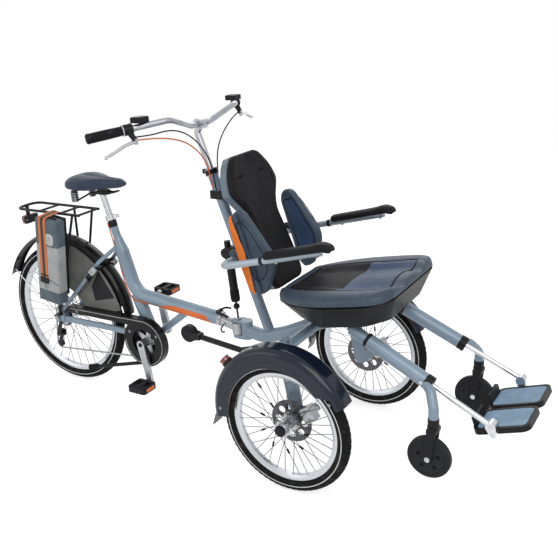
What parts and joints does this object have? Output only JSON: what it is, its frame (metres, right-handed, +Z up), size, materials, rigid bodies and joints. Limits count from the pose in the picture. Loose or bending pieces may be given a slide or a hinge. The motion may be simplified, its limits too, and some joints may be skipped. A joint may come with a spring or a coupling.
{
  "type": "wheelchair bicycle",
  "caption": "Bicycle with a padded passenger chair on two front wheels, steered from behind about an upright pivot, with footrests, casters, rack and battery.",
  "frame": {"origin": "on the ground under the middle of the machine's bounding box", "axes": "+X is forward, the way of travel; +Y is to the rider's left; +Z is up"},
  "size_m": [2.4788, 0.9198, 1.29],
  "materials": {
    "frame_paint": "satin blue-grey",
    "dark_paint": "dark semi-gloss",
    "navy_gloss": "gloss dark navy",
    "bare_metal": "satin",
    "steel": "brushed",
    "bright_metal": "bright",
    "black_plastic": "matte black",
    "grey_plastic": "matte grey",
    "blue_vinyl": "soft blue-grey vinyl",
    "black_vinyl": "soft black vinyl",
    "blue_foam": "light blue pad",
    "rubber": "matte black",
    "tyre": "black with a pale wall line",
    "strap": "woven orange and black",
    "red_lens": "red lens"
  },
  "bodies": {
    "chair": {"chair_frame": "frame_paint", "pivot_pin": "steel", "handlebar_post": "frame_paint", "stem": "bare_metal", "handlebar": "bright_metal", "grips": "rubber", "brake_levers": "black_plastic", "bar_cables": "black_plastic", "spring_strut": "dark_paint", "post_brackets": "frame_paint", "backrest_shell": "blue_vinyl", "backrest_cushion": "black_vinyl", "side_pads": "blue_vinyl", "side_pad_shells": "black_plastic", "seat_pan": "black_plastic", "seat_cushion": "blue_vinyl", "footrest_rods": "bright_metal", "footplates": "black_plastic", "foot_pads": "blue_foam", "front_mudguards": "navy_gloss", "mudguard_lamps": "red_lens", "brake_calipers": "bare_metal", "anti_tip_arm": "dark_paint"},
    "bicycle_rear": {"rear_frame": "frame_paint", "rear_axle": "steel", "coupling": "bare_metal", "seat_post": "bare_metal", "saddle_rails": "dark_paint", "saddle": "black_vinyl", "chain": "steel", "chain_case": "black_plastic", "derailleur": "dark_paint", "rear_mudguard": "navy_gloss", "coat_guards": "grey_plastic", "rear_rack": "dark_paint", "battery": "grey_plastic", "rack_straps": "strap", "rack_lamp": "red_lens", "ring_lock": "dark_paint"},
    "rear_wheel": {"rear_wheel": "bare_metal", "rear_tyre": "tyre"},
    "front_wheel_left": {"front_wheel_left": "bare_metal", "front_tyre_left": "tyre"},
    "armrest_left": {"armrest_left": "bare_metal", "arm_pad_left": "black_vinyl"},
    "caster_fork_left": {"caster_fork_left": "frame_paint"},
    "caster_wheel_left": {"caster_wheel_left": "black_plastic"},
    "pedal_left": {"pedal_left": "black_plastic"},
    "front_wheel_right": {"front_wheel_right": "bare_metal", "front_tyre_right": "tyre"},
    "armrest_right": {"armrest_right": "bare_metal", "arm_pad_right": "black_vinyl"},
    "caster_fork_right": {"caster_fork_right": "frame_paint"},
    "caster_wheel_right": {"caster_wheel_right": "black_plastic"},
    "pedal_right": {"pedal_right": "black_plastic"},
    "crankset": {"crankset": "bare_metal"},
    "side_stand": {"side_stand": "black_plastic"},
    "anti_tip_wheel": {"anti_tip_wheel": "black_plastic"}
  },
  "joints": [
    {"name": "steering", "type": "hinge", "parent": "chair", "child": "bicycle_rear", "pos_m": [0.0474, 0, 0.417], "axis": [0, 0, 1], "range_deg": [-35, 35]},
    {"name": "rear_wheel_spin", "type": "hinge", "parent": "bicycle_rear", "child": "rear_wheel", "pos_m": [-0.9076, 0, 0.327], "axis": [0, 1, 0], "continuous": true},
    {"name": "crank_spin", "type": "hinge", "parent": "bicycle_rear", "child": "crankset", "pos_m": [-0.4046, 0, 0.293], "axis": [0, 1, 0], "continuous": true},
    {"name": "side_stand_fold", "type": "hinge", "parent": "bicycle_rear", "child": "side_stand", "pos_m": [-0.4276, -0.025, 0.178], "axis": [0, -1, 0], "range_deg": [0, 15]},
    {"name": "anti_tip_wheel_spin", "type": "hinge", "parent": "chair", "child": "anti_tip_wheel", "pos_m": [-0.0396, -0.205, 0.458], "axis": [0, 1, 0], "continuous": true},
    {"name": "front_wheel_left_spin", "type": "hinge", "parent": "chair", "child": "front_wheel_left", "pos_m": [0.4574, 0.3425, 0.25], "axis": [0, 1, 0], "continuous": true},
    {"name": "pedal_left_spin", "type": "hinge", "parent": "crankset", "child": "pedal_left", "pos_m": [-0.43119, 0.15, 0.46091], "axis": [0, 1, 0], "continuous": true},
    {"name": "armrest_left_fold", "type": "hinge", "parent": "chair", "child": "armrest_left", "pos_m": [0.1614, 0.15, 0.765], "axis": [0, -1, 0], "range_deg": [0, 90]},
    {"name": "caster_left_swivel", "type": "hinge", "parent": "chair", "child": "caster_fork_left", "pos_m": [0.9524, 0.235, 0.345], "axis": [0, 0, 1], "continuous": true},
    {"name": "caster_wheel_left_spin", "type": "hinge", "parent": "caster_fork_left", "child": "caster_wheel_left", "pos_m": [0.9394, 0.235, 0.2], "axis": [0, 1, 0], "continuous": true},
    {"name": "front_wheel_right_spin", "type": "hinge", "parent": "chair", "child": "front_wheel_right", "pos_m": [0.4574, -0.3425, 0.25], "axis": [0, 1, 0], "continuous": true},
    {"name": "pedal_right_spin", "type": "hinge", "parent": "crankset", "child": "pedal_right", "pos_m": [-0.37801, -0.15, 0.12509], "axis": [0, 1, 0], "continuous": true},
    {"name": "armrest_right_fold", "type": "hinge", "parent": "chair", "child": "armrest_right", "pos_m": [0.1614, -0.15, 0.765], "axis": [0, -1, 0], "range_deg": [0, 90]},
    {"name": "caster_right_swivel", "type": "hinge", "parent": "chair", "child": "caster_fork_right", "pos_m": [0.9524, -0.235, 0.345], "axis": [0, 0, 1], "continuous": true},
    {"name": "caster_wheel_right_spin", "type": "hinge", "parent": "caster_fork_right", "child": "caster_wheel_right", "pos_m": [0.9394, -0.235, 0.2], "axis": [0, 1, 0], "continuous": true}
  ]
}
